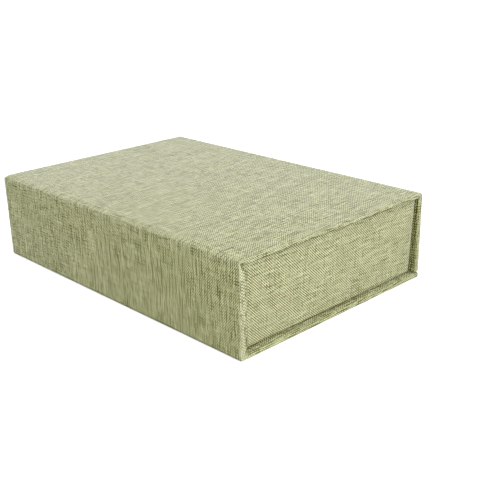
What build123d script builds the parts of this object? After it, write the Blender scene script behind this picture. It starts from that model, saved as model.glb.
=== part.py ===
from build123d import *

import os

# Photo storage box: a lined board tray glued into a wrap-round, cloth-covered case.
#
# The case is four boards in one sheet of book cloth: base, spine, lid and front flap. The cloth
# folds at the back of the base, at the top of the spine (the lid's hinge) and at the front of the
# lid (the flap's hinge). The flap closes against the front wall of the tray with two pairs of disc
# magnets.
#
# Frame: X along the box, +Y towards the spine, +Z up. The origin is under the middle of the base.
# Units are millimetres.

# Driving dimensions
box_length = 175.0
box_width = 120.0
box_height = 43.0
board = 2.0  # greyboard of the case and the tray
cloth = 0.3  # book cloth, glued down
paper = 0.2  # lining paper
tape = 0.15  # gummed paper on the tray's corners
overhang = 4.0  # the case stands out this far past each end of the tray
fold_radius = 3.0  # outside of the cloth where the case turns a corner
edge_round = 0.6  # cloth pulled over a board's edge
turn_in = 12.0  # cloth turned over onto the inside of a board
hinge_flange = 10.0  # inner hinge strip, glued to each board beside the fold
strip_gap = 0.2  # between the ends of an inner hinge strip and the turn-ins
lining_margin = 6.0  # cloth left showing round a lining sheet
spine_foot = 4.5  # bottom edge of the spine board above the table
lid_clearance = 0.2  # lid lining above the tray's rim
flap_clearance = 0.4  # flap lining in front of the tray
flap_foot_gap = 0.4  # flap's free edge above the base
rim_turn_in = 15.0  # cloth turned down inside the tray's rim
lining_drop = 3.0  # the wall lining starts this far below the rim
tape_leg = 14.0
magnet_diameter = 10.0
magnet_thickness = 1.5
magnet_spacing = 100.0
magnet_height = 16.0  # magnet centres above the table
recess_clearance = 0.05
same_place = 1e-4  # two coordinates closer than this are one

# Derived sizes of the case
half_length = box_length / 2
half_width = box_width / 2
covered = board + 2 * cloth  # a board with cloth on both faces
board_half_length = half_length - cloth
turn_in_x = half_length - turn_in  # where the end turn-ins stop
strip_x = turn_in_x - strip_gap
lining_x = half_length - lining_margin
fold_y = half_width - fold_radius  # where the folds start on the base and the lid
fold_z = box_height - fold_radius  # where the folds start on the spine and the flap
spine_inner = half_width - covered
flap_inner = -half_width + covered
lid_inner = box_height - covered
flap_foot = covered + flap_foot_gap

# Outside of the tray, cloth included
tray_x = half_length - overhang
tray_front = flap_inner + paper + flap_clearance
tray_back = spine_inner
tray_bottom = covered
tray_top = lid_inner - paper - lid_clearance

# Boards of the tray, inside the cloth and the corner tapes
skin = cloth + tape
wall_x = tray_x - skin
wall_front = tray_front + skin
wall_back = tray_back - skin
floor_bottom = tray_bottom + cloth
floor_top = floor_bottom + board
wall_top = tray_top - cloth

# Inside of the tray, at the face of the turned-in cloth
inside_x = wall_x - board - cloth
inside_front = wall_front + board + cloth
inside_back = wall_back - board - cloth

magnet_places = {"left": -magnet_spacing / 2, "right": magnet_spacing / 2}
flap_magnet_back = -half_width + cloth + board
tray_magnet_back = wall_front + magnet_thickness


def block(x0, x1, y0, y1, z0, z1):
    """A box between two opposite corners."""
    middle = Pos((x0 + x1) / 2, (y0 + y1) / 2, (z0 + z1) / 2)
    return middle * Box(abs(x1 - x0), abs(y1 - y0), abs(z1 - z0))


def round_edges(shape, axis, **places):
    """Round the edges along an axis that lie at the given distances from the origin."""
    def fits(edge):
        middle = edge.center()
        return all(abs(abs(getattr(middle, name)) - place) < same_place
                   for name, place in places.items())

    return fillet([edge for edge in shape.edges().filter_by(axis) if fits(edge)], edge_round)


# Magnets

def magnet_disc(x, back, radius=magnet_diameter / 2):
    """A disc on edge, reaching from back towards the front of the box."""
    middle = Pos(x, back - magnet_thickness / 2, magnet_height)
    return middle * Rot(90, 0, 0) * Cylinder(radius, magnet_thickness)


def recessed(panel, back):
    """The panel with a blind recess for each magnet."""
    for x in magnet_places.values():
        panel -= magnet_disc(x, back, magnet_diameter / 2 + recess_clearance)
    return panel


# Case: the boards

def base_board():
    return block(-board_half_length, board_half_length, -half_width + cloth, fold_y,
                 cloth, cloth + board)


def spine_board():
    return block(-board_half_length, board_half_length, spine_inner + cloth,
                 half_width - cloth, spine_foot, fold_z)


def lid_board():
    return block(-board_half_length, board_half_length, -fold_y, fold_y,
                 lid_inner + cloth, box_height - cloth)


def flap_panel():
    return block(-board_half_length, board_half_length, -half_width + cloth,
                 flap_inner - cloth, flap_foot + cloth, fold_z)


def flap_board():
    return recessed(flap_panel(), flap_magnet_back)


# Case: the cover cloth, one sheet in the real box, divided here at its folds

def base_cover_cloth():
    """Under the base board, round its front edge and ends, and turned in on top."""
    cover = block(-half_length, half_length, -half_width, fold_y, 0, covered)
    cover -= block(-turn_in_x, turn_in_x, -half_width + turn_in, fold_y, covered - cloth, covered)
    cover -= base_board()
    cover = round_edges(cover, Axis.Y, X=half_length)
    return round_edges(cover, Axis.X, Y=half_width)


def spine_cover_cloth():
    """Outside of the spine board, round its ends and turned in."""
    cover = block(-half_length, half_length, spine_inner, half_width, spine_foot, fold_z)
    cover -= block(-turn_in_x, turn_in_x, spine_inner, spine_inner + cloth, spine_foot, fold_z)
    cover -= spine_board()
    return round_edges(cover, Axis.Z, X=half_length)


def lid_cover_cloth():
    """Over the lid board, round its ends and turned in underneath."""
    cover = block(-half_length, half_length, -fold_y, fold_y, lid_inner, box_height)
    cover -= block(-turn_in_x, turn_in_x, -fold_y, fold_y, lid_inner, lid_inner + cloth)
    cover -= lid_board()
    return round_edges(cover, Axis.Y, X=half_length)


def flap_cover_cloth():
    """Outside of the flap board, round its ends and free edge, and turned in behind."""
    cover = block(-half_length, half_length, -half_width, flap_inner, flap_foot, fold_z)
    cover -= block(-turn_in_x, turn_in_x, flap_inner - cloth, flap_inner,
                   flap_foot + turn_in, fold_z)
    cover -= flap_panel()
    cover = round_edges(cover, Axis.Z, X=half_length)
    return round_edges(cover, Axis.X, Z=flap_foot)


def fold(half_span, outer_radius, straight=0.0):
    """A quarter-round of cloth along X at the top back corner, with a straight run below it."""
    corner = Pos(fold_y, fold_z)
    quadrant = Pos(outer_radius / 2, outer_radius / 2) * Rectangle(outer_radius, outer_radius)
    profile = corner * ((Circle(outer_radius) - Circle(outer_radius - cloth)) & quadrant)
    if straight:
        middle = Pos(outer_radius - cloth / 2, -straight / 2)
        profile += corner * middle * Rectangle(cloth, straight)
    # The profile is drawn in (Y, Z) and stood up along X.
    across = Plane(origin=(-half_span, 0, 0), x_dir=(0, 1, 0), z_dir=(1, 0, 0))
    return extrude(across * profile, half_span * 2)


def doubled_fold(straight=0.0):
    """Cover cloth round a fold, doubled at each end where it is turned in."""
    turned = fold(half_length, fold_radius - cloth, straight)
    turned -= block(-turn_in_x, turn_in_x, 0, half_width, 0, box_height)
    return fold(half_length, fold_radius, straight) + turned


def base_fold_cloth():
    """Cover cloth from the base board round to the spine board."""
    upright = doubled_fold(spine_foot - fold_radius)
    return Pos(0, 0, box_height) * mirror(upright, Plane.XY)


def inner_hinge_strip():
    """Cloth strip lining the top back fold, glued under the lid and behind the spine."""
    bend_inner = fold_radius - 2 * cloth
    strip = fold(strip_x, fold_radius - cloth)
    strip += block(-strip_x, strip_x, fold_y - hinge_flange, fold_y, lid_inner, lid_inner + cloth)
    strip += block(-strip_x, strip_x, spine_inner, spine_inner + cloth,
                   fold_z - hinge_flange, fold_z)
    # Beside each board's edge the strip steps out to the cover cloth.
    strip += block(-strip_x, strip_x, fold_y, fold_y + cloth, lid_inner, fold_z + bend_inner)
    strip += block(-strip_x, strip_x, spine_inner, fold_y + bend_inner, fold_z, fold_z + cloth)
    return strip


def at_front(shape):
    """A fold of the lid's back edge, at its front edge."""
    return mirror(shape, Plane.XZ)


# Case: the linings

def lid_lining():
    return block(-lining_x, lining_x, -fold_y + lining_margin, fold_y - lining_margin,
                 lid_inner - paper, lid_inner)


def flap_lining():
    return block(-lining_x, lining_x, flap_inner, flap_inner + paper,
                 flap_foot + lining_margin, fold_z - lining_margin)


# Tray: the boards

def tray_floor_board():
    return block(-wall_x, wall_x, wall_front, wall_back, floor_bottom, floor_top)


def tray_end_wall(side):
    return block(side * wall_x, side * (wall_x - board), wall_front, wall_back,
                 floor_top, wall_top)


def tray_front_wall():
    panel = block(-wall_x + board, wall_x - board, wall_front, wall_front + board,
                  floor_top, wall_top)
    return recessed(panel, tray_magnet_back)


def tray_back_wall():
    return block(-wall_x + board, wall_x - board, wall_back - board, wall_back,
                 floor_top, wall_top)


def corner_tape(side, corner_y, inward):
    """Gummed paper round one upright corner; inward is the way along Y into the tray."""
    outer_x = side * (wall_x + tape)
    outer_y = corner_y - inward * tape
    tape_piece = block(outer_x, outer_x - side * tape_leg, outer_y, outer_y + inward * tape_leg,
                       floor_bottom, wall_top)
    return tape_piece - block(side * wall_x, 0, corner_y, 0, floor_bottom, wall_top)


# Tray: cloth and linings

def tray_cover_cloth():
    """Round the walls, over the rim, down inside it and under the edge of the floor."""
    cover = block(-tray_x, tray_x, tray_front, tray_back, tray_bottom, tray_top)
    cover = fillet(cover.edges().filter_by(Axis.Z), edge_round)
    cover = fillet(cover.faces().sort_by(Axis.Z)[-1].edges(), edge_round)
    rim_foot = tray_top - rim_turn_in
    boards = block(-tray_x + cloth, tray_x - cloth, tray_front + cloth, tray_back - cloth,
                   floor_bottom, wall_top)
    boards -= block(-inside_x - cloth, inside_x + cloth, inside_front - cloth,
                    inside_back + cloth, rim_foot, wall_top)
    mouth = block(-inside_x, inside_x, inside_front, inside_back, rim_foot, tray_top)
    under = block(-tray_x + turn_in, tray_x - turn_in, tray_front + turn_in,
                  tray_back - turn_in, tray_bottom, floor_bottom)
    return cover - boards - mouth - under


def tray_wall_lining():
    """Paper round the inside of the walls, lapped over the turned-in cloth."""
    bottom = floor_top + paper
    top = tray_top - lining_drop
    lining = block(-inside_x, inside_x, inside_front, inside_back, bottom, top)
    return lining - block(-inside_x + paper, inside_x - paper, inside_front + paper,
                          inside_back - paper, bottom, top)


def tray_floor_lining():
    return block(-inside_x, inside_x, inside_front, inside_back, floor_top, floor_top + paper)


def all_parts():
    """Every piece of the box, by name."""
    parts = {
        "base_board": base_board(),
        "base_cover_cloth": base_cover_cloth(),
        "base_fold_cloth": base_fold_cloth(),
        "spine_board": spine_board(),
        "spine_cover_cloth": spine_cover_cloth(),
        "lid_hinge_cloth": doubled_fold(),
        "lid_hinge_inner_strip": inner_hinge_strip(),
        "lid_board": lid_board(),
        "lid_cover_cloth": lid_cover_cloth(),
        "lid_lining": lid_lining(),
        "flap_hinge_cloth": at_front(doubled_fold()),
        "flap_hinge_inner_strip": at_front(inner_hinge_strip()),
        "flap_board": flap_board(),
        "flap_cover_cloth": flap_cover_cloth(),
        "flap_lining": flap_lining(),
        "tray_floor_board": tray_floor_board(),
        "tray_front_wall": tray_front_wall(),
        "tray_back_wall": tray_back_wall(),
        "tray_cover_cloth": tray_cover_cloth(),
        "tray_wall_lining": tray_wall_lining(),
        "tray_floor_lining": tray_floor_lining(),
    }
    for name, side in (("left", -1), ("right", 1)):
        parts[f"tray_{name}_wall"] = tray_end_wall(side)
        parts[f"corner_tape_front_{name}"] = corner_tape(side, wall_front, inward=1)
        parts[f"corner_tape_back_{name}"] = corner_tape(side, wall_back, inward=-1)
        parts[f"flap_magnet_{name}"] = magnet_disc(magnet_places[name], flap_magnet_back)
        parts[f"tray_magnet_{name}"] = magnet_disc(magnet_places[name], tray_magnet_back)
    return parts


os.makedirs("parts", exist_ok=True)
for node, shape in all_parts().items():
    shape.label = node
    export_step(shape, f"parts/{node}.step")
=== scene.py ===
import math

import bpy
from mathutils import Matrix, Vector, noise


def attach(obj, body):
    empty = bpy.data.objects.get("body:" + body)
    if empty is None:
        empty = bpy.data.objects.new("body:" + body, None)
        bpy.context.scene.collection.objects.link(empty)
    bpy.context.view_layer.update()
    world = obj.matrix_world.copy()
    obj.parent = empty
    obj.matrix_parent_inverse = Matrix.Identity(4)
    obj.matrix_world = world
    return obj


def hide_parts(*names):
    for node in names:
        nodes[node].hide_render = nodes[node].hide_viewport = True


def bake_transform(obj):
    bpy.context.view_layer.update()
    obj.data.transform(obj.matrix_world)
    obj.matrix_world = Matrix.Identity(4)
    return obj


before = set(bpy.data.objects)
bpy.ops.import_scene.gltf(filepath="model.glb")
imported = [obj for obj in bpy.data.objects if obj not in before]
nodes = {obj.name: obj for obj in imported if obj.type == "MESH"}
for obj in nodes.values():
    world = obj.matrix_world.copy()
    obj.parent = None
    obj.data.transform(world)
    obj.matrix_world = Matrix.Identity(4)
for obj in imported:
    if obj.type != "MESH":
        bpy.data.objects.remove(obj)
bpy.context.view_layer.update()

mm = 0.001


def clamp(value, low, high):
    return max(low, min(high, value))


def smoothStep(low, high, value):
    t = clamp((value - low) / (high - low), 0.0, 1.0)
    return t * t * (3 - 2 * t)


# Grid lines from runs of (start, end, number of steps)
def gridLines(*runs):
    lines = [runs[0][0]]
    for start, end, steps in runs:
        lines += [start + (end - start) * (i + 1) / steps for i in range(steps)]
    return lines


def selectOnly(obj):
    bpy.ops.object.select_all(action="DESELECT")
    obj.select_set(True)
    bpy.context.view_layer.objects.active = obj


def applyModifier(obj, kind, **settings):
    selectOnly(obj)
    modifier = obj.modifiers.new(kind.title(), kind)
    for key, value in settings.items():
        setattr(modifier, key, value)
    bpy.ops.object.modifier_apply(modifier=modifier.name)


# A sheet from points in millimetres, its faces and one cloth coordinate per face corner
def sheetObject(name, points, faces, corners, wearAndHighlight=None, shaded=None):
    mesh = bpy.data.meshes.new(name)
    mesh.from_pydata([[c * mm for c in p] for p in points], [], faces)
    uvMap = mesh.uv_layers.new(name="cloth")
    for loop, (u, v) in zip(uvMap.data, corners):
        loop.uv = (u * mm, v * mm)
    # Two masks per point: pale fibre for wear and for a painted highlight on the folds, and painted shade
    for label, values in (("wearAndHighlight", wearAndHighlight), ("shaded", shaded)):
        layer = mesh.attributes.new(label, "FLOAT", "POINT")
        layer.data.foreach_set("value", values or [0.0] * len(points))
    mesh.update()
    obj = bpy.data.objects.new(name, mesh)
    bpy.context.collection.objects.link(obj)
    return obj


def finishSheet(obj, thickness, material, angle=40):
    applyModifier(obj, "SOLIDIFY", thickness=thickness * mm, offset=-1.0, use_even_offset=False)
    selectOnly(obj)
    bpy.ops.object.shade_smooth_by_angle(angle=math.radians(angle))
    obj.data.materials.clear()
    obj.data.materials.append(material)


class NodeSheet:
    # Places nodes in a tree and joins them; inputs are numbers, vectors or sockets
    def __init__(self, tree):
        self.tree = tree
        self.column = 0

    def node(self, kind, inputs=None, **settings):
        made = self.tree.nodes.new(kind)
        made.location = (self.column * 30, -(self.column % 7) * 120)
        self.column += 1
        for key, value in settings.items():
            setattr(made, key, value)
        for key, value in (inputs or {}).items():
            if isinstance(value, bpy.types.NodeSocket):
                self.tree.links.new(value, made.inputs[key])
            else:
                made.inputs[key].default_value = value
        return made

    def math(self, operation, *values):
        made = self.node("ShaderNodeMath", dict(enumerate(values)), operation=operation)
        return made.outputs[0]

    def mapRange(self, value, fromLow, fromHigh, toLow, toHigh, smooth=False):
        kind = "SMOOTHSTEP" if smooth else "LINEAR"
        made = self.node("ShaderNodeMapRange", {0: value, 1: fromLow, 2: fromHigh, 3: toLow, 4: toHigh},
                         interpolation_type=kind)
        return made.outputs[0]

    def mixColour(self, factor, first, second, blend="MIX"):
        made = self.node("ShaderNodeMix", data_type="RGBA", blend_type=blend)
        for socket, value in ((made.inputs[0], factor), (made.inputs[6], first), (made.inputs[7], second)):
            if isinstance(value, bpy.types.NodeSocket):
                self.tree.links.new(value, socket)
            else:
                socket.default_value = value
        return made.outputs[2]

    def noise(self, x, y, scale=1.0, detail=1.0, roughness=0.5, z=0.0):
        place = self.node("ShaderNodeCombineXYZ", {0: x, 1: y, 2: z}).outputs[0]
        made = self.node("ShaderNodeTexNoise", {"Vector": place, "Scale": scale, "Detail": detail,
                                                "Roughness": roughness})
        return made.outputs["Fac"]


def newGroup(name, inputs, outputs):
    tree = bpy.data.node_groups.new(name, "ShaderNodeTree")
    for label, kind, value in inputs:
        socket = tree.interface.new_socket(name=label, in_out="INPUT", socket_type=kind)
        if value is not None:
            socket.default_value = value
    for label, kind in outputs:
        tree.interface.new_socket(name=label, in_out="OUTPUT", socket_type=kind)
    sheet = NodeSheet(tree)
    start = sheet.node("NodeGroupInput")
    end = sheet.node("NodeGroupOutput")
    return sheet, start.outputs, end


def newMaterial(name):
    material = bpy.data.materials.new(name)
    material.use_nodes = True
    tree = material.node_tree
    tree.nodes.clear()
    sheet = NodeSheet(tree)
    shader = sheet.node("ShaderNodeBsdfPrincipled")
    output = sheet.node("ShaderNodeOutputMaterial")
    tree.links.new(shader.outputs[0], output.inputs["Surface"])
    return material, sheet, shader


def useGroup(sheet, group, inputs):
    made = sheet.node("ShaderNodeGroup")
    made.node_tree = group
    for key, value in inputs.items():
        if isinstance(value, bpy.types.NodeSocket):
            sheet.tree.links.new(value, made.inputs[key])
        else:
            made.inputs[key].default_value = value
    return made.outputs


# Threads of the woven cloth; tones are shares of the way from the dark thread to the light one
threadLook = {
    "wander": 1.6,           # in threads
    "over": 0.35,            # how sharply one thread passes over the other
    "standOut": 5.8,         # each thread against its neighbours
    "pairs": 1.5,            # threads that lie in pairs
    "darkest": -1.1,
    "lightest": 0.34,
    "slubs": 1.4,
    "paleLow": 0.10,         # share of pale fibre, for wear and for painted highlights
    "paleHigh": 0.42,
    "shadeGain": 1.9,
    "shadeLimit": 0.92,
}


# Plain weave of linen-look threads, with slubs, wear, a painted highlight and painted shade
def weaveGroup():
    look = threadLook
    scalar, vector, colour = "NodeSocketFloat", "NodeSocketVector", "NodeSocketColor"
    sheet, given, end = newGroup("plainWeave", [
        ("Cloth", vector, None),
        ("Wear And Highlight", scalar, 0.0),
        ("Shaded", scalar, 0.0),
        ("Pitch Across", scalar, 0.54),
        ("Pitch Along", scalar, 0.64),
        ("Light Thread", colour, (0.5, 0.5, 0.3, 1)),
        ("Dark Thread", colour, (0.3, 0.3, 0.1, 1)),
        ("Pale Thread", colour, (0.6, 0.6, 0.4, 1)),
        ("Deep Shade", colour, (0.1, 0.1, 0.03, 1)),
        ("Tone", scalar, 0.5),
        ("Weave", scalar, 1.0),
        ("Streaks Along", scalar, 1.0),
        ("Streaks Across", scalar, 0.5),
        ("Speckle", scalar, 0.5),
        ("Mottle", scalar, 0.3),
    ], [("Colour", colour), ("Height", scalar), ("Roughness", scalar), ("Bloom", scalar)])
    m = sheet.math
    link = sheet.tree.links.new
    split = sheet.node("ShaderNodeSeparateXYZ", {0: given["Cloth"]}).outputs
    across = m("MULTIPLY", split[0], 1000.0)     # millimetres of cloth
    along = m("MULTIPLY", split[1], 1000.0)

    # Noise drawn out along one set of threads, centred on nought
    def drawn(perAcross, perAlong, z, detail=2, roughness=0.6):
        place = m("MULTIPLY", across, perAcross), m("MULTIPLY", along, perAlong)
        return m("SUBTRACT", sheet.noise(*place, detail=detail, roughness=roughness, z=z), 0.5)

    # Threads wander a little
    countA, countB = m("DIVIDE", across, given["Pitch Across"]), m("DIVIDE", along, given["Pitch Along"])
    turnsA = m("MULTIPLY_ADD", drawn(0.10, 0.05, 0.0, 1), look["wander"], countA)
    turnsB = m("MULTIPLY_ADD", drawn(0.05, 0.10, 7.3, 1), look["wander"], countB)
    waveA = m("SINE", m("MULTIPLY", turnsA, math.pi))
    waveB = m("SINE", m("MULTIPLY", turnsB, math.pi))
    roundA = m("ABSOLUTE", waveA)
    roundB = m("ABSOLUTE", waveB)
    over = sheet.mapRange(m("MULTIPLY", waveA, waveB), -look["over"], look["over"], -0.5, 0.5, smooth=True)
    heightA = m("MULTIPLY", m("POWER", roundA, 0.6), m("MULTIPLY_ADD", roundB, 0.45, 0.55))
    heightB = m("MULTIPLY", m("POWER", roundB, 0.6), m("MULTIPLY_ADD", roundA, 0.45, 0.55))
    height = sheet.node("ShaderNodeMix", {0: m("ADD", over, 0.5), 2: heightB, 3: heightA},
                        data_type="FLOAT").outputs[0]

    # Every thread has its own run of light and dark fibre, and some lie in pairs
    def threadTone(turns, share, far, perFar, z):
        place = m("MULTIPLY_ADD", m("FLOOR", m("MULTIPLY", turns, share)), 3.7, z), m("MULTIPLY", far, perFar)
        return m("SUBTRACT", sheet.noise(*place, detail=1, z=z), 0.5)

    # Threads stand out from their neighbours, the dark ones more than the light
    def threadSet(turns, far, z):
        here = threadTone(turns, 1.0, far, 0.13, z)
        beside = m("ADD", threadTone(m("ADD", turns, 1.0), 1.0, far, 0.13, z),
                   threadTone(m("SUBTRACT", turns, 1.0), 1.0, far, 0.13, z))
        crisp = m("MULTIPLY_ADD", beside, -0.5, here)
        both = m("MULTIPLY_ADD", threadTone(turns, 0.8, far, 0.28, z + 5.7), look["pairs"],
                 m("MULTIPLY", crisp, look["standOut"]))
        return m("MAXIMUM", m("MINIMUM", both, look["lightest"]), look["darkest"])

    onTop = m("ADD", over, 0.5)
    shareA = m("MULTIPLY", sheet.mapRange(onTop, 0.0, 1.0, 0.4, 1.0), given["Streaks Along"])
    shareB = m("MULTIPLY", sheet.mapRange(onTop, 0.0, 1.0, 1.0, 0.4), given["Streaks Across"])
    streaks = m("ADD", m("MULTIPLY", threadSet(turnsA, along, 11.0), shareA),
                m("MULTIPLY", threadSet(turnsB, across, 17.0), shareB))
    slubs = m("ADD", m("MULTIPLY", drawn(0.90, 0.06, 25.0, 1), given["Streaks Along"]),
              m("MULTIPLY", drawn(0.07, 0.70, 35.0, 1), given["Streaks Across"]))
    crossing = sheet.node("ShaderNodeCombineXYZ", {0: m("FLOOR", turnsA), 1: m("FLOOR", turnsB)}).outputs[0]
    dice = sheet.node("ShaderNodeTexWhiteNoise", {"Vector": crossing}, noise_dimensions="2D")
    speckle = m("MULTIPLY_ADD", m("SUBTRACT", dice.outputs["Value"], 0.5), given["Speckle"],
                m("MULTIPLY", slubs, look["slubs"]))
    patchy = sheet.mapRange(drawn(0.11, 0.11, 41.0, 3), -0.15, 0.15, 0.6, 1.1)
    lattice = m("MULTIPLY", m("MULTIPLY", over, given["Weave"]), patchy)
    tone = m("ADD", m("ADD", streaks, speckle), m("ADD", lattice, given["Tone"]))
    tone = m("MULTIPLY_ADD", drawn(0.07, 0.07, 43.0, 3), given["Mottle"], tone)
    thread = sheet.mixColour(tone, given["Dark Thread"], given["Light Thread"])
    # Darker in the pits between threads and a little lighter on their crowns: painted shade and highlight
    pits = sheet.mapRange(height, 0.0, 0.75, 0.70, 1.07)
    grey = sheet.node("ShaderNodeCombineColor", {0: pits, 1: pits, 2: pits}).outputs[0]
    woven = sheet.mixColour(1.0, thread, grey, "MULTIPLY")

    # Pale fibre marks wear and the painted highlight on the folds; painted shade gathers where the cloth
    # turns under, in the gaps and dark threads first
    fuzz = sheet.noise(m("MULTIPLY", across, 1.3), m("MULTIPLY", along, 1.3), detail=3, roughness=0.7, z=51.0)
    paleShare = m("MULTIPLY", given["Wear And Highlight"], sheet.mapRange(fuzz, 0.35, 0.65, look["paleLow"], look["paleHigh"]))
    wearAndHighlight = sheet.mixColour(paleShare, woven, given["Pale Thread"])
    resist = m("MULTIPLY_ADD", height, 0.3, tone)
    filled = m("SUBTRACT", m("MULTIPLY", given["Shaded"], look["shadeGain"]), resist)
    dusk = m("MULTIPLY", sheet.mapRange(filled, 0.0, 1.0, 0.0, 1.0), look["shadeLimit"])
    finished = sheet.mixColour(dusk, wearAndHighlight, given["Deep Shade"])
    link(finished, end.inputs["Colour"])
    raised = m("MULTIPLY_ADD", streaks, 0.15, height)
    link(m("MULTIPLY_ADD", fuzz, 0.3, raised), end.inputs["Height"])
    link(sheet.mapRange(height, 0.0, 1.0, 0.95, 0.72), end.inputs["Roughness"])
    link(m("SUBTRACT", 1.0, dusk), end.inputs["Bloom"])
    return sheet.tree


clothFinish = {
    "weaveDepth": 0.09,      # millimetres
    # pale fibre, for wear and for the painted highlight on the folds
    "paleThread": (0.580, 0.580, 0.480, 1),
    "deepShade": (0.080, 0.088, 0.008, 1),
    "sheen": 0.95,
    "sheenRoughness": 0.30,
    "sheenTint": (1.0, 1.0, 0.98, 1),
    "specular": 0.06,
}


# Settings are named after the group's inputs: lightThread fills Light Thread
def clothMaterial(name, group, settings):
    material, sheet, shader = newMaterial(name)
    inputs = {key[0].upper() + "".join(" " + c if c.isupper() else c for c in key[1:]): value
              for key, value in settings.items()}
    inputs["Cloth"] = sheet.node("ShaderNodeUVMap", uv_map="cloth").outputs[0]
    inputs["Wear And Highlight"] = sheet.node("ShaderNodeAttribute", attribute_name="wearAndHighlight").outputs["Fac"]
    inputs["Shaded"] = sheet.node("ShaderNodeAttribute", attribute_name="shaded").outputs["Fac"]
    inputs["Pale Thread"], inputs["Deep Shade"] = clothFinish["paleThread"], clothFinish["deepShade"]
    made = useGroup(sheet, group, inputs)
    link = sheet.tree.links.new
    link(made["Colour"], shader.inputs["Base Color"])
    link(made["Roughness"], shader.inputs["Roughness"])
    link(sheet.math("MULTIPLY", made["Bloom"], clothFinish["sheen"]), shader.inputs["Sheen Weight"])
    bump = sheet.node("ShaderNodeBump", {"Strength": 1.0, "Distance": clothFinish["weaveDepth"] * mm,
                                         "Height": made["Height"]})
    link(bump.outputs[0], shader.inputs["Normal"])
    shader.inputs["Specular IOR Level"].default_value = clothFinish["specular"]
    shader.inputs["Sheen Roughness"].default_value = clothFinish["sheenRoughness"]
    shader.inputs["Sheen Tint"].default_value = clothFinish["sheenTint"]
    return material


# Paper, board and tape: a fibrous grain with flecks
def grainGroup():
    scalar, vector, colour = "NodeSocketFloat", "NodeSocketVector", "NodeSocketColor"
    sheet, given, end = newGroup("fibreGrain", [
        ("Place", vector, None),
        ("Grain Size", scalar, 1.0),
        ("Pale", colour, (0.7, 0.7, 0.6, 1)),
        ("Deep", colour, (0.5, 0.5, 0.4, 1)),
        ("Flecks", scalar, 0.2),
    ], [("Colour", colour), ("Height", scalar), ("Roughness", scalar)])
    m = sheet.math
    inMillimetres = {0: given["Place"], 1: (1000.0, 1000.0, 1000.0)}
    place = sheet.node("ShaderNodeVectorMath", inMillimetres, operation="MULTIPLY").outputs[0]
    scale = m("DIVIDE", 1.0, given["Grain Size"])

    def texture(kind, share, output, **settings):
        inputs = {"Vector": place, "Scale": m("MULTIPLY", scale, share), **settings}
        return sheet.node(kind, inputs).outputs[output]

    tooth = texture("ShaderNodeTexNoise", 1.0, "Fac", Detail=4.0, Roughness=0.7)
    cloud = texture("ShaderNodeTexNoise", 0.08, "Fac", Detail=3.0)
    fibre = texture("ShaderNodeTexVoronoi", 0.35, "Distance")
    fleck = m("MULTIPLY", sheet.mapRange(fibre, 0.04, 0.14, 1.0, 0.0, smooth=True), given["Flecks"])
    soft = m("MULTIPLY_ADD", cloud, 0.45, m("MULTIPLY", fleck, 0.5))
    amount = m("MULTIPLY_ADD", tooth, 0.55, soft)
    link = sheet.tree.links.new
    share = sheet.mapRange(amount, 0.3, 0.75, 0.0, 1.0)
    link(sheet.mixColour(share, given["Pale"], given["Deep"]), end.inputs["Colour"])
    link(m("SUBTRACT", tooth, m("MULTIPLY", fleck, 0.3)), end.inputs["Height"])
    link(sheet.mapRange(tooth, 0.3, 0.7, 0.72, 0.92), end.inputs["Roughness"])
    return sheet.tree


def grainMaterial(name, group, size, pale, deep, flecks, depth, specular=0.3):
    material, sheet, shader = newMaterial(name)
    place = sheet.node("ShaderNodeTexCoord").outputs["Object"]
    made = useGroup(sheet, group, {"Place": place, "Grain Size": size, "Pale": pale, "Deep": deep,
                                   "Flecks": flecks})
    link = sheet.tree.links.new
    link(made["Colour"], shader.inputs["Base Color"])
    link(made["Roughness"], shader.inputs["Roughness"])
    bump = sheet.node("ShaderNodeBump", {"Strength": 1.0, "Distance": depth * mm, "Height": made["Height"]})
    link(bump.outputs[0], shader.inputs["Normal"])
    shader.inputs["Specular IOR Level"].default_value = specular
    return material


def nickelMaterial():
    material, sheet, shader = newMaterial("nickelPlate")
    place = sheet.node("ShaderNodeTexCoord").outputs["Object"]
    scuffs = sheet.node("ShaderNodeTexNoise", {"Vector": place, "Scale": 900.0, "Detail": 4.0}).outputs["Fac"]
    link = sheet.tree.links.new
    link(sheet.mixColour(scuffs, (0.66, 0.64, 0.60, 1), (0.52, 0.50, 0.47, 1)), shader.inputs["Base Color"])
    link(sheet.mapRange(scuffs, 0.3, 0.7, 0.22, 0.42), shader.inputs["Roughness"])
    shader.inputs["Metallic"].default_value = 1.0
    bump = sheet.node("ShaderNodeBump", {"Strength": 0.4, "Distance": 0.01 * mm, "Height": scuffs})
    link(bump.outputs[0], shader.inputs["Normal"])
    return material


# Threads' colours, their pitch in millimetres and how uneven they are
caseWeave = {
    "lightThread": (0.680, 0.692, 0.398, 1),
    "darkThread": (0.112, 0.118, 0.008, 1),
    "pitchAcross": 0.545,
    "pitchAlong": 0.635,
    "tone": 0.60,
    "weave": 1.4,
    "streaksAlong": 1.0,
    "streaksAcross": 0.5,
    "speckle": 0.36,
    "mottle": 0.08,
}
# The tray's light threads are bluer than the case's: a painted sheen for the light on the tray's end wall
trayWeaveWithSheen = {
    "lightThread": (0.710, 0.716, 0.446, 1),
    "darkThread": (0.095, 0.098, 0.010, 1),
    "pitchAcross": 0.645,
    "pitchAlong": 0.62,
    "tone": 0.535,
    "weave": 1.5,
    "streaksAlong": 0.36,
    "streaksAcross": 0.64,
    "speckle": 0.25,
    "mottle": 0.08,
}

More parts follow.
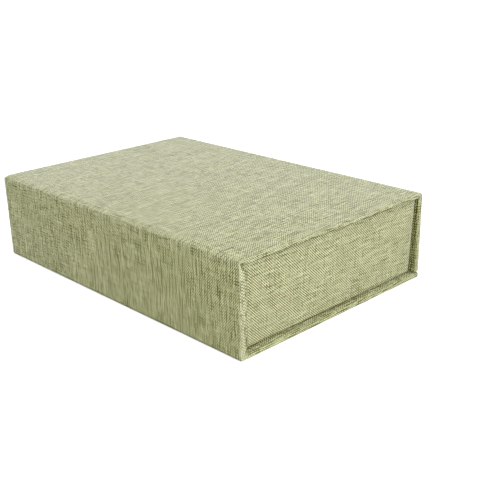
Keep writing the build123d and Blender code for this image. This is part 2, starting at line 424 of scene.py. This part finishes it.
# Grain and depth in millimetres
paperLooks = {
    "liningPaper": {"size": 0.9, "pale": (0.76, 0.73, 0.64, 1), "deep": (0.66, 0.62, 0.52, 1),
                    "flecks": 0.25, "depth": 0.03},
    "greyBoard": {"size": 0.7, "pale": (0.40, 0.38, 0.35, 1), "deep": (0.27, 0.26, 0.24, 1),
                  "flecks": 0.8, "depth": 0.06},
    "kraftTape": {"size": 0.6, "pale": (0.50, 0.34, 0.19, 1), "deep": (0.38, 0.25, 0.14, 1),
                  "flecks": 0.4, "depth": 0.02},
}

weave = weaveGroup()
grain = grainGroup()
caseCloth = clothMaterial("caseCloth", weave, caseWeave)
trayCloth = clothMaterial("trayCloth", weave, trayWeaveWithSheen)
papers = {name: grainMaterial(name, grain, **look) for name, look in paperLooks.items()}
nickelPlate = nickelMaterial()
print("materials made")


# Sizes of the wrap-round case, in millimetres
caseSizes = {
    "length": 175.0,
    "width": 120.0,
    "height": 43.0,
    "cloth": 0.3,
    "coveredBoard": 2.6,     # board with cloth on both faces
    "boardGap": 3.0,         # from a fold's sharp corner to the boards beside it
    "baseFoldRadius": 1.3,
    "lidFoldRadius": 3.0,    # start of the slope down to the edge
    "lidFoldDrop": 0.85,
    "lidFoldTurn": 0.83,
    "flapFoldRadius": 1.9,
    "innerRadius": 0.25,
    "foldReach": 5.5,        # the boards' edges lean towards the fold from here
    "hollow": 0.3,           # how deep the cloth sinks between the boards at a hinge
    "hollowFrom": 0.12,      # shares of the turn where it starts to sink and is deepest
    "hollowFull": 0.4,
    "pinch": 0.3,            # the end edges draw in this far at the folds
    "edgeInset": 0.06,       # end edges and faces lie this far in, and wander round it
    "edgeWander": 1.2,
    "edgeReach": 0.8,        # both fade out this far from the edge
    "faceInset": 0.05,
    "faceWander": 0.6,
    "swellLow": 1.5,         # turned cloth thickens the spine's ends, less at the foot
    "swellHigh": 2.1,
    "swellClear": 0.35,      # gap left to the tray, wider towards the top
    "swellClearTop": 1.8,
    "swellTaper": 0.92,      # the swelling thins out towards the hinge
    "swellStart": 0.12,      # share of the spine over which it begins
    "swellSlope": 0.9,
    "flapSwell": 0.2,
    "flapSwellReach": 1.8,
    "flapSwellStart": 6.0,
    "ledge": 4.0,            # from the end of the case to the tray's wall
    "flapFoot": 3.0,         # free edge of the flap above the table
    "edgeRound": 0.7,        # cloth pulled over a board's edge
    "turnIn": 12.0,
    "seamUnder": 40.0,       # where the base piece meets the lid piece, under the box
    "seamTop": 50.0,         # where the flap piece meets the lid piece, from the middle
}
size = caseSizes
halfLength = size["length"] / 2
halfWidth = size["width"] / 2
hingeY = halfWidth - size["boardGap"]
hingeZ = size["height"] - size["boardGap"]

# Corners of the girth: place, direction before, direction after, and radius of the cloth
foldCorners = [
    ("baseFold", (halfWidth, 0.0), (1, 0), (0, 1), size["baseFoldRadius"]),
    ("lidFold", (halfWidth, size["height"]), (0, 1), (-1, 0), size["lidFoldRadius"]),
    ("flapFold", (-halfWidth, size["height"]), (-1, 0), (0, -1), size["flapFoldRadius"]),
]

# Distances round the girth, from the front edge of the base, where each fold starts and ends
stops = {}


def measureGirth():
    at, before = Vector((-halfWidth, 0.0)), 0.0
    along = 0.0
    for name, corner, _, _, radius in foldCorners:
        along += (Vector(corner) - at).length - radius - before
        stops[name] = along
        along += math.pi / 2 * radius
        stops[name + "End"] = along
        at, before = Vector(corner), radius
    stops["foot"] = along + (at.y - size["flapFoot"]) - before


measureGirth()
underSeam = halfWidth + size["seamUnder"]
topSeam = stops["lidFoldEnd"] + halfWidth - size["lidFoldRadius"] + size["seamTop"]


# A polyline with its corners rounded
def roundedPath(corners, radius, steps):
    path = [Vector(corners[0])]
    for before, here, after in zip(corners, corners[1:], corners[2:]):
        before, here, after = Vector(before), Vector(here), Vector(after)
        into, out = (here - before).normalized(), (after - here).normalized()
        first, last = here - into * radius, here + out * radius
        for s in range(steps + 1):
            w = s / steps
            path.append(first * (1 - w) ** 2 + here * 2 * w * (1 - w) + last * w * w)
    path.append(Vector(corners[-1]))
    return path


def runningLengths(path):
    lengths = [0.0]
    for a, b in zip(path, path[1:]):
        lengths.append(lengths[-1] + (b - a).length)
    return lengths


# Rows along a path, about the spacing apart, and their distances from its start
def spacedPath(path, spacing):
    rows = []
    for a, b in zip(path, path[1:]):
        steps = max(1, int((b - a).length / spacing))
        rows += [a.lerp(b, s / steps) for s in range(steps)]
    rows.append(path[-1])
    return rows, runningLengths(rows)


# Over the joint beside the spine the cloth slopes down, then turns sharply
lidCrease = roundedPath([(-size["lidFoldRadius"], 0), (-size["lidFoldDrop"], 0), (0, size["lidFoldRadius"])],
                        size["lidFoldTurn"], 10)
creaseLengths = runningLengths(lidCrease)


def creasePlace(share):
    want = share * creaseLengths[-1]
    for k in range(1, len(lidCrease)):
        if want <= creaseLengths[k] or k == len(lidCrease) - 1:
            step = (want - creaseLengths[k - 1]) / (creaseLengths[k] - creaseLengths[k - 1])
            return lidCrease[k - 1].lerp(lidCrease[k], step)


# Outer and inner points of the covered panel, (y, z), after t mm of girth from the front edge
def girthPlaces(t):
    full, inner, reach = size["coveredBoard"], size["innerRadius"], size["foldReach"]
    for name, corner, first, second, radius in foldCorners:
        start, end = stops[name], stops[name + "End"]
        if t > end + reach - radius:
            continue
        corner, first, second = Vector(corner), Vector(first), Vector(second)
        squeeze = (reach - full - inner) / (reach - radius)
        if t < start:
            a = -radius - (start - t)
            outside = (a, 0.0)
            inside = (a if a < -reach else -reach + (a + reach) * squeeze, full)
        elif t > end:
            b = radius + (t - end)
            outside = (0.0, b)
            inside = (-full, reach - (reach - b) * squeeze)
        else:
            turn = (t - start) / radius
            outside = (-radius + radius * math.sin(turn), radius - radius * math.cos(turn))
            if name == "lidFold":
                outside = creasePlace(turn / (math.pi / 2))
            inside = (-full - inner + inner * math.sin(turn), full + inner - inner * math.cos(turn))
            if name != "baseFold":
                share = turn / (math.pi / 2)
                hollow = size["hollow"] * smoothStep(size["hollowFrom"], size["hollowFull"],
                                                     min(share, 1 - share))
                inside = Vector(inside).lerp(Vector(outside), hollow)
        return (corner + first * outside[0] + second * outside[1],
                corner + first * inside[0] + second * inside[1])
    z = size["flapFoot"] + stops["foot"] - t
    return Vector((-halfWidth, z)), Vector((-halfWidth + full, z))


def foldShare(t):
    return max(1 - abs(t - (stops[n] + stops[n + "End"]) / 2) / ((stops[n + "End"] - stops[n]) * 0.8)
               for n in ("baseFold", "lidFold", "flapFold"))


# Cloth laid by hand is never quite flat: two waves, in millimetres and in turns per millimetre
handwork = {"slowDepth": 0.05, "slowPitch": 0.035, "quickDepth": 0.03, "quickPitch": 0.16}


def unevenness(x, t, side):
    slow, quick = handwork["slowPitch"], handwork["quickPitch"]
    slowWave = noise.noise(Vector((x * slow, t * slow, side * 5.0)))
    quickWave = noise.noise(Vector((x * quick, t * quick, side * 9.0 + 3.0)))
    return handwork["slowDepth"] * slowWave + handwork["quickDepth"] * quickWave


# The spine's turned ends are thicker than the board, and thin out towards the hinge
def spineSwell(near, t):
    upSpine = (t - stops["baseFoldEnd"]) / (stops["lidFold"] - stops["baseFoldEnd"])
    onSpine = smoothStep(0.0, size["swellStart"], upSpine)
    upSpine = clamp(upSpine, 0.0, 1.0)
    swell = size["swellLow"] + (size["swellHigh"] - size["swellLow"]) * upSpine
    swell = clamp(size["swellTaper"] * (stops["lidFold"] - t), 0.0, swell)
    clear = size["ledge"] - size["swellClear"] - size["swellClearTop"] * upSpine
    return swell * onSpine * smoothStep(clear, clear - size["swellSlope"], near)


def flapSwell(near, t):
    pastFold = max(0.0, t - stops["flapFoldEnd"])
    atEnd = smoothStep(size["flapSwellReach"], size["flapSwellReach"] / 2, near)
    return size["flapSwell"] * atEnd * smoothStep(0, size["flapSwellStart"], pastFold)


# Pale fibre on the case, from 0 to 1, and how far it reaches in millimetres: wear on the edges and ends, and
# a painted highlight on the folds
caseWearAndHighlight = {
    "ends": 0.75,
    "baseEnds": 0.25,
    # on the folds: painted highlight, with some wear
    "folds": 0.80,
    "edgeReach": 0.5,
    "endReach": 0.35,
}


def wearAndHighlightAt(t, toEdge, depth, fold):
    if depth == 0:
        return clamp(max(math.exp(-toEdge / caseWearAndHighlight["edgeReach"]), caseWearAndHighlight["folds"] * fold), 0.0, 1.0)
    if toEdge >= 0.01:
        return 0.0
    ends = caseWearAndHighlight["baseEnds"] if t < stops["baseFold"] - 1.0 else caseWearAndHighlight["ends"]
    return clamp(ends + (1 - ends) * math.exp(-depth / caseWearAndHighlight["endReach"]), 0.0, 1.0)


# Painted shade on the case, from 0 to 1, where light hardly reaches
caseShade = {
    "underBaseFold": 0.95,
    "besideLidFold": 0.30,
    "ledge": 0.95,           # at the foot of the tray
    "ledgeEdge": 0.54,       # share of it that starts right at the ledge's edge
    "flapInside": 0.90,
    "flapFoot": 0.45,
    "lidEdge": 0.95,
    "spineTop": 0.90,
    "baseEnds": 0.36,
    "flapEnds": 0.40,
    "lidEnds": 0.20,
    "spineEnds": 0.12,
    "folds": 0.30,
}


# Painted contact shadow under the base fold, and painted shade just below the lid's fold
def outerShade(t):
    start, end = stops["baseFold"], stops["baseFoldEnd"]
    contact = smoothStep(start - 1.2, start, t) * (1 - smoothStep(end - 0.5, end + 0.7, t))
    beside = math.exp(-((t - stops["lidFold"]) / 2.0) ** 2)
    return max(caseShade["underBaseFold"] * contact, caseShade["besideLidFold"] * beside)


# Painted shade on the ledge, deepest at the tray's foot and beside the flap
def ledgeShade(near, t):
    ledge, edge = size["ledge"], caseShade["ledgeEdge"]
    dark = edge * smoothStep(0.1, 0.6, near) + (1 - edge) * smoothStep(ledge - 1.6, ledge - 0.7, near)
    besideFlap = smoothStep(7, 4, t) * smoothStep(0.8, 2.0, near)
    return caseShade["ledge"] * max(dark, besideFlap) * (near < ledge + 2)


# Painted shade on the flap's turned face, in the gap beside the tray
def flapShade(near, t):
    ledge = size["ledge"]
    foot = caseShade["flapFoot"] * smoothStep(12, 3, stops["foot"] - t)
    dark = (caseShade["flapInside"] - foot) * smoothStep(0.0, 0.35, near) + foot * smoothStep(1.2, 2.6, near)
    return dark * smoothStep(ledge + 0.8, ledge, near)


# Painted shade in the hollow at the top of the spine's ends, and along their turned edge
def spineShade(t, depth):
    full, top, ends = size["coveredBoard"], stops["lidFold"], caseShade["spineEnds"]
    hollow = smoothStep(full * 0.45, full * 0.7, depth) * smoothStep(top - 3.0, top - 1.5, t)
    return max(caseShade["spineTop"] * hollow, ends + (1 - ends) * smoothStep(full - 0.45, full - 0.2, depth))


def shadeAt(near, t, toEdge, depth):
    full = size["coveredBoard"]
    turned = depth > full - 0.01 and toEdge > 0.5
    if depth == 0:
        return outerShade(t)
    if t < stops["baseFold"] - 1.0:
        return ledgeShade(near, t) if turned else caseShade["baseEnds"]
    if t > stops["flapFoldEnd"]:
        return flapShade(near, t) if turned else caseShade["flapEnds"]
    if t > stops["lidFoldEnd"]:
        if depth > full - 0.95 and toEdge < 0.8:
            return caseShade["lidEdge"] * smoothStep(full - 0.95, full - 0.45, depth)
        return caseShade["lidEnds"]
    if t > stops["baseFoldEnd"]:
        return spineShade(t, depth)
    return caseShade["folds"]


def caseSheet(name, girthLines, closedStart=False, closedEnd=False):
    full, r = size["coveredBoard"], size["edgeRound"]
    edge = ((0, r, 4), (r, size["ledge"], 8), (size["ledge"], size["turnIn"], 5))
    left = [-halfLength + line for line in gridLines(*edge)]
    middle = gridLines((left[-1], -left[-1], 60))
    xLines = left[:-1] + middle + [-x for x in reversed(left[:-1])]
    depths = gridLines((0, r, 4), (r, full - r, 2), (full - r, full, 4))
    lastX, lastT, lastD = len(xLines) - 1, len(girthLines) - 1, len(depths) - 1
    startT, endT = girthLines[0], girthLines[-1]
    points, wearAndHighlight, shaded, index = [], [], [], {}

    def corner(i, j, k):
        if (i, j, k) in index:
            return index[i, j, k]
        x, t, depth = xLines[i], girthLines[j], depths[k]
        lowT = startT + r if closedStart else -1e9
        highT = endT - r if closedEnd else 1e9
        inner = Vector((clamp(x, -halfLength + r, halfLength - r), clamp(t, lowT, highT),
                        clamp(depth, r, full - r)))
        away = Vector((x, t, depth)) - inner
        if away.length > 1e-9:
            inner += away.normalized() * r
        x, t, depth = inner
        near = halfLength - abs(x)
        bump = unevenness(x, t, 1.0 if k == 0 else -1.0)
        # The end edges are pulled round by hand, so they wander slightly, and pinch at the folds
        fold = max(0.0, foldShare(t))
        drawnIn = size["edgeInset"] + size["edgeWander"] * bump + size["pinch"] * fold * fold
        x -= math.copysign(drawnIn, x) * math.exp(-near / size["edgeReach"])
        if k == 0:
            depth += size["faceInset"] + size["faceWander"] * bump
        outside, inside = girthPlaces(t)
        inside.x += flapSwell(near, t) - spineSwell(near, t)
        y, z = outside.lerp(inside, depth / full)
        points.append((x, y, z))
        toEdge = halfLength - abs(xLines[i])
        if closedStart:
            toEdge = min(toEdge, girthLines[j] - startT)
        if closedEnd:
            toEdge = min(toEdge, endT - girthLines[j])
        wearAndHighlight.append(wearAndHighlightAt(t, toEdge, depths[k], fold))
        shaded.append(shadeAt(near, t, toEdge, depths[k]))
        index[i, j, k] = len(points) - 1
        return index[i, j, k]

    faces, corners = [], []
    shift = halfLength + size["turnIn"] + full + 10.0

    def flatPlace(side, i, j, k):
        x, t, d = xLines[i], girthLines[j], depths[k]
        if side == "outside":
            return x, t
        if side == "end":
            return math.copysign(halfLength + d, x), t
        if side == "turned":
            return math.copysign(2 * halfLength + full - abs(x), x), t
        if side == "edge":
            return x, (startT - d if j == 0 else endT + d)
        fromStart = closedStart and t - startT <= size["turnIn"] + 1e-6
        return x, (startT - full - (t - startT) if fromStart else endT + full + (endT - t))

    def face(side, cells, flip):
        if flip:
            cells = cells[::-1]
        faces.append([corner(*c) for c in cells])
        for c in cells:
            u, v = flatPlace(side, *c)
            corners.append((u + shift, v + shift))

    for i in range(lastX):
        for j in range(lastT):
            face("outside", [(i, j, 0), (i, j + 1, 0), (i + 1, j + 1, 0), (i + 1, j, 0)], False)
            midX = (xLines[i] + xLines[i + 1]) / 2
            midT = (girthLines[j] + girthLines[j + 1]) / 2
            fromEnd = halfLength - abs(midX)
            fromRow = 1e9
            if closedStart:
                fromRow = min(fromRow, midT - startT)
            if closedEnd:
                fromRow = min(fromRow, endT - midT)
            if min(fromEnd, fromRow) < size["turnIn"]:
                side = "turned" if fromEnd < fromRow else "turnedRow"
                face(side, [(i, j, lastD), (i, j + 1, lastD), (i + 1, j + 1, lastD), (i + 1, j, lastD)], True)
    for j in range(lastT):
        for k in range(lastD):
            for i in (0, lastX):
                face("end", [(i, j, k), (i, j, k + 1), (i, j + 1, k + 1), (i, j + 1, k)], i > 0)
    for i in range(lastX):
        for k in range(lastD):
            for j, closed in ((0, closedStart), (lastT, closedEnd)):
                if closed:
                    face("edge", [(i, j, k), (i + 1, j, k), (i + 1, j, k + 1), (i, j, k + 1)], j > 0)
    obj = sheetObject(name, points, faces, corners, wearAndHighlight, shaded)
    finishSheet(obj, size["cloth"], caseCloth)
    return obj


rounding = size["edgeRound"]
turnIn = size["turnIn"]
reach = size["foldReach"]


# Lines across a fold: closer together round the turn
def foldLines(name):
    return ((stops[name] - reach + 2, stops[name], 6), (stops[name], stops[name + "End"], 20),
            (stops[name + "End"], stops[name + "End"] + reach - 2, 6))


basePiece = caseSheet("caseClothBase", gridLines(
    (0, rounding, 4), (rounding, 3, 3), (3, turnIn, 5), (turnIn, underSeam, 36)), closedStart=True)
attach(basePiece, "tray_and_base")
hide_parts("base_cover_cloth")

baseFold, lidFold, flapFold = foldLines("baseFold"), foldLines("lidFold"), foldLines("flapFold")
lidPiece = caseSheet("caseClothLid", gridLines(
    (underSeam, baseFold[0][0], 7), *baseFold, (baseFold[-1][1], lidFold[0][0], 18),
    *lidFold, (lidFold[-1][1], topSeam, 52)))
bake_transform(lidPiece)
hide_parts("base_fold_cloth", "spine_cover_cloth", "lid_hinge_cloth", "lid_cover_cloth")

flapPiece = caseSheet("caseClothFlap", gridLines(
    (topSeam, flapFold[0][0], 3), *flapFold, (flapFold[-1][1], stops["foot"] - turnIn, 12),
    (stops["foot"] - turnIn, stops["foot"] - 3, 5), (stops["foot"] - 3, stops["foot"] - rounding, 3),
    (stops["foot"] - rounding, stops["foot"], 4)), closedEnd=True)
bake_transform(flapPiece)
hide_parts("flap_hinge_cloth", "flap_cover_cloth")

print("case cloth folded round the boards")


# Inner hinge strips, glued under the folds, in millimetres
hingeStrip = {
    "halfSpan": 75.3,
    "flange": 10.0,
    "cloth": 0.3,
    "soften": 0.35,          # radius at the boards' edges
    "setBack": 0.25,         # behind the cover cloth of the fold
    "boardClear": 0.02,      # past the boards' edges
    "unevenness": 0.02,
    "rowSpacing": 1.2,
    "cutFrom": (100.0, 20.0),    # its place on the roll of cloth
}


def hingeStripSheet(name, front):
    shape = hingeStrip
    arcRadius = size["boardGap"] - size["cloth"] - shape["setBack"]
    lidFace, spineFace = size["height"] - size["coveredBoard"], halfWidth - size["coveredBoard"]
    boardEdgeY, boardEdgeZ = hingeY + shape["boardClear"], hingeZ + shape["boardClear"]
    corners = [(hingeY - shape["flange"], lidFace), (boardEdgeY, lidFace), (boardEdgeY, hingeZ + arcRadius)]
    arc = [(hingeY + arcRadius * math.sin(a), hingeZ + arcRadius * math.cos(a))
           for a in (math.radians(d) for d in range(12, 79, 6))]
    lower = [(hingeY + arcRadius, boardEdgeZ), (spineFace, boardEdgeZ), (spineFace, hingeZ - shape["flange"])]
    path = roundedPath(corners, shape["soften"], 4)[:-1]
    path += [Vector(p) for p in arc]
    path += roundedPath([arc[-1], *lower], shape["soften"], 4)[1:]
    rows, distance = spacedPath(path, shape["rowSpacing"])
    xLines = gridLines((-shape["halfSpan"], shape["halfSpan"], 60))
    sign = -1.0 if front else 1.0
    points = []
    for row in rows:
        for x in xLines:
            wander = shape["unevenness"] * noise.noise(Vector((x * 0.2, row.x, row.y)))
            points.append((x, sign * row.x, row.y + wander))
    faces, cornersUv = [], []
    rollX, rollY = shape["cutFrom"]
    across = len(xLines)
    for r in range(len(rows) - 1):
        for i in range(across - 1):
            cell = [(r, i), (r + 1, i), (r + 1, i + 1), (r, i + 1)]
            if front:
                cell = cell[::-1]
            faces.append([a * across + b for a, b in cell])
            cornersUv += [(xLines[b] + rollX, distance[a] + rollY) for a, b in cell]
    obj = sheetObject(name, points, faces, cornersUv)
    finishSheet(obj, shape["cloth"], caseCloth)
    return obj, distance[-1]


backStrip, stripLength = hingeStripSheet("hingeStripLid", front=False)
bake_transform(backStrip)
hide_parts("lid_hinge_inner_strip")
frontStrip, stripLength = hingeStripSheet("hingeStripFlap", front=True)
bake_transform(frontStrip)
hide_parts("flap_hinge_inner_strip")
print("hinge strips glued in")


# The tray's cloth, in millimetres: round the walls, over the rim and under the floor
trayWrap = {
    "halfX": 83.5,
    "lean": 1.8,             # the end walls lean out this far at the rim
    "front": -57.2,
    "back": 57.4,
    "bottom": 2.6,
    "top": 40.0,
    "wall": 2.75,            # cloth face to cloth face
    "frontWall": 3.15,
    "faceInset": 0.06,       # the outer faces lie this far in, and wander round it
    "faceWander": 0.08,
    "wanderPitch": (0.05, 0.06),     # round the walls and up them, in turns per millimetre
    "rimDown": 15.0,
    "under": 12.0,
    "cornerRound": 0.55,
    "cornerLeast": 0.25,     # inside the walls
    "outerDepth": 0.3,       # the outer face alone leans in full
    "rimRound": 0.8,
    "footRound": 0.55,
    "cloth": 0.3,
    "rowSpacing": 2.0,
    "cornerSteps": 6,
    "endSteps": 46,
    "sideSteps": 66,
    "cutFrom": (5.0, 5.0),   # its place on the roll of cloth
}


# Up the outside, over the rim and down the inside: inset and height, and the way along
def trayProfile():
    shape = trayWrap
    corners = [(shape["under"], shape["bottom"]), (0.0, shape["bottom"]), (0.0, shape["top"]),
               (shape["wall"], shape["top"]), (shape["wall"], shape["top"] - shape["rimDown"])]
    foot = roundedPath(corners[:3], shape["footRound"], 5)
    rim = roundedPath(corners[1:], shape["rimRound"], 6)
    return spacedPath(foot[:-1] + rim[1:], shape["rowSpacing"])


# Round the walls, anticlockwise from the front right corner; each share is within its own stretch
def trayStations():
    steps, stations = trayWrap["cornerSteps"], []
    for quarter in range(4):
        stations += [("corner", quarter, s / steps) for s in range(steps + 1)]
        count = trayWrap["endSteps"] if quarter % 2 == 0 else trayWrap["sideSteps"]
        stations += [("wall", quarter, s / count) for s in range(1, count)]
    return stations


# The end walls lean out towards the rim, and the front wall is thicker inwards
def trayPlace(station, inset, z=0.0):
    shape = trayWrap
    kind, quarter, share = station
    r = max(shape["cornerRound"] - inset, shape["cornerLeast"])
    rise = clamp((z - shape["bottom"]) / (shape["top"] - shape["bottom"]), 0.0, 1.0)
    outer = 1 - smoothStep(shape["outerDepth"], shape["wall"], inset)
    halfX = shape["halfX"] + shape["lean"] * rise * outer - inset
    halfY = (shape["back"] - shape["front"]) / 2 - inset
    thicker = (shape["frontWall"] - shape["wall"]) * (1 - outer)

    def onCorner(quarter, share):
        signX, signY = ((1, -1), (1, 1), (-1, 1), (-1, -1))[quarter % 4]
        angle = math.radians(-90 + 90 * quarter + 90 * share)
        centreY = signY * (halfY - r) + (thicker if signY < 0 else 0.0)
        return Vector((signX * (halfX - r) + r * math.cos(angle), centreY + r * math.sin(angle)))

    if kind == "corner":
        return onCorner(quarter, share)
    return onCorner(quarter, 1.0).lerp(onCorner(quarter + 1, 0.0), share)


# Pale fibre and shade on the tray's cloth, from 0 to 1, and how far they reach in millimetres
trayMarks = {
    "rimReach": 0.6,
    "uprightEdges": 0.8,
    "footReach": 0.6,
    "underLid": 0.95,        # where the lid lies on the rim
    "underLidReach": 0.05,
    "outerFace": 1.0,        # smaller insets are on the outer face
    "outerRim": 1.5,
}


def trayMarksAt(kind, inset, z):
    marks = trayMarks
    down, upFromFoot = trayWrap["top"] - z, max(0.0, z - trayWrap["bottom"])
    outside = inset < marks["outerFace"]
    rim = math.exp(-abs(down) / marks["rimReach"])
    upright = marks["uprightEdges"] if kind == "corner" and outside else 0.0
    foot = math.exp(-upFromFoot / marks["footReach"]) if outside else 0.0
    under = marks["underLid"] * math.exp(-down / marks["underLidReach"])
    under *= inset < marks["outerRim"]
    return clamp(max(rim, upright), 0.0, 1.0), clamp(max(foot, under), 0.0, 1.0)


def trayWrapSheet(name):
    shape = trayWrap
    midY = (shape["front"] + shape["back"]) / 2
    pitchRound, pitchUp = shape["wanderPitch"]
    profile, up = trayProfile()
    stations = trayStations()
    around = runningLengths([trayPlace(station, 0.0) for station in stations + stations[:1]])
    points, wearAndHighlight, shaded = [], [], []
    for station, girthHere in zip(stations, around):
        for (inset, z), height in zip(profile, up):
            bump = noise.noise(Vector((girthHere * pitchRound, height * pitchUp, 2.0)))
            push = shape["faceInset"] + shape["faceWander"] * bump
            outward = trayPlace(station, inset - 0.01, z) - trayPlace(station, inset + 0.01, z)
            outward = outward.normalized() if outward.length else Vector((0, 0))
            onOutside = 0.0 <= inset < shape["wall"] * 0.5 and z > shape["bottom"] + 0.5
            x, y = trayPlace(station, inset, z) - outward * (push if onOutside else 0.0)
            points.append((x, y + midY, z))
            pale, dark = trayMarksAt(station[0], inset, z)
            wearAndHighlight.append(pale)
            shaded.append(dark)
    faces, cornersUv = [], []
    rollX, rollY = shape["cutFrom"]
    tall = len(profile)
    for s in range(len(stations)):
        after = (s + 1) % len(stations)
        left, right = around[s] + rollX, around[s + 1] + rollX
        for w in range(tall - 1):
            low, high = up[w] + rollY, up[w + 1] + rollY
            faces.append([s * tall + w, after * tall + w, after * tall + w + 1, s * tall + w + 1])
            cornersUv += [(left, low), (right, low), (right, high), (left, high)]
    obj = sheetObject(name, points, faces, cornersUv, wearAndHighlight, shaded)
    finishSheet(obj, shape["cloth"], trayCloth, angle=50)
    return obj, around[-1], up[-1]


trayPiece, trayGirth, trayDepth = trayWrapSheet("trayClothWrap")
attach(trayPiece, "tray_and_base")
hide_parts("tray_cover_cloth")
print("tray covered")


# Finishes of the pieces kept from the frame, by the first of these words in their names
finishes = {
    "lining": papers["liningPaper"],
    "board": papers["greyBoard"],
    "wall": papers["greyBoard"],
    "tape": papers["kraftTape"],
    "magnet": nickelPlate,
}
for name, node in nodes.items():
    material = next((look for word, look in finishes.items() if word in name), None)
    if material:
        node.data.materials.clear()
        node.data.materials.append(material)
print("boards, linings and magnets finished")


# Floor and sky: what the camera sees is whiter than the light they give
stage = {
    "floorSize": 30.0,       # metres
    "floorColour": (0.90, 0.90, 0.90, 1),
    "floorHaze": (0.89, 0.89, 0.89, 1),
    "floorBounce": (0.58, 0.58, 0.58, 1),
    "floorGlow": 0.50,       # added for the camera only
    "worldLight": 0.78,
    "worldColour": (1.0, 1.0, 0.91, 1),
}


def makeFloor():
    bpy.ops.object.select_all(action="DESELECT")
    bpy.ops.mesh.primitive_plane_add(size=stage["floorSize"], location=(0, 0, 0))
    floor = bpy.context.object
    floor.name = "studioFloor"
    material, sheet, shader = newMaterial("studioFloor")
    place = sheet.node("ShaderNodeTexCoord").outputs["Object"]
    haze = sheet.node("ShaderNodeTexNoise", {"Vector": place, "Scale": 3.0}).outputs["Fac"]
    link = sheet.tree.links.new
    # The floor looks whiter than the light it throws back on the box
    seen = sheet.node("ShaderNodeLightPath").outputs["Is Camera Ray"]
    pale = sheet.mixColour(haze, stage["floorColour"], stage["floorHaze"])
    link(sheet.mixColour(seen, stage["floorBounce"], pale), shader.inputs["Base Color"])
    shader.inputs["Roughness"].default_value = 0.9
    shader.inputs["Specular IOR Level"].default_value = 0.0
    glow = sheet.node("ShaderNodeEmission", {"Strength": sheet.math("MULTIPLY", seen, stage["floorGlow"])})
    both = sheet.node("ShaderNodeAddShader", {0: shader.outputs[0], 1: glow.outputs[0]})
    output = next(n for n in sheet.tree.nodes if n.type == "OUTPUT_MATERIAL")
    link(both.outputs[0], output.inputs["Surface"])
    floor.data.materials.append(material)


def makeWorld():
    world = bpy.data.worlds.new("studioWorld")
    bpy.context.scene.world = world
    world.use_nodes = True
    sheet = NodeSheet(world.node_tree)
    world.node_tree.nodes.clear()
    path = sheet.node("ShaderNodeLightPath").outputs
    mirrored = sheet.math("MAXIMUM", path["Is Glossy Ray"], path["Is Transmission Ray"])
    direct = sheet.math("MAXIMUM", path["Is Camera Ray"], mirrored)
    strength = sheet.mapRange(direct, 0.0, 1.0, stage["worldLight"], 1.0)
    seen = sheet.mixColour(direct, stage["worldColour"], (1, 1, 1, 1))
    back = sheet.node("ShaderNodeBackground", {"Color": seen, "Strength": strength})
    output = sheet.node("ShaderNodeOutputWorld")
    world.node_tree.links.new(back.outputs[0], output.inputs["Surface"])


lamps = {
    # place in metres, size in metres, power in watts
    "keyLamp": {"place": (-1.15, 0.30, 0.66), "size": 1.1, "power": 15.0, "colour": (0.89, 0.895, 1.0)},
}


def makeLamp(name, place, size, power, colour):
    bpy.ops.object.light_add(type="AREA", location=place)
    lamp = bpy.context.object
    lamp.name = name
    lamp.data.size = size
    lamp.data.energy = power
    lamp.data.color = colour
    aim = Vector((0, 0, 0.02)) - Vector(place)
    lamp.rotation_euler = aim.to_track_quat("-Z", "Y").to_euler()


makeFloor()
makeWorld()
for name, lamp in lamps.items():
    makeLamp(name, **lamp)

cameraView = {
    "place": (-0.29767, 0.258916, 0.157963),     # metres
    "right": (-0.702407, -0.711591, -0.016204),
    "up": (0.243262, -0.261394, 0.934075),
    "lens": 59.878,          # millimetres
    "sensor": 36.0,
}


def makeCamera():
    data = bpy.data.cameras.new("camera")
    data.lens = cameraView["lens"]
    data.sensor_width = cameraView["sensor"]
    data.clip_start = 0.01
    camera = bpy.data.objects.new("camera", data)
    bpy.context.collection.objects.link(camera)
    right, up = Vector(cameraView["right"]).normalized(), Vector(cameraView["up"])
    back = right.cross(up).normalized()
    up = back.cross(right)
    turn = Matrix((right, up, back)).transposed().to_4x4()
    camera.matrix_world = Matrix.Translation(cameraView["place"]) @ turn
    bpy.context.scene.camera = camera


makeCamera()
bpy.context.scene.view_settings.view_transform = "Standard"
print("floor, light and camera placed")
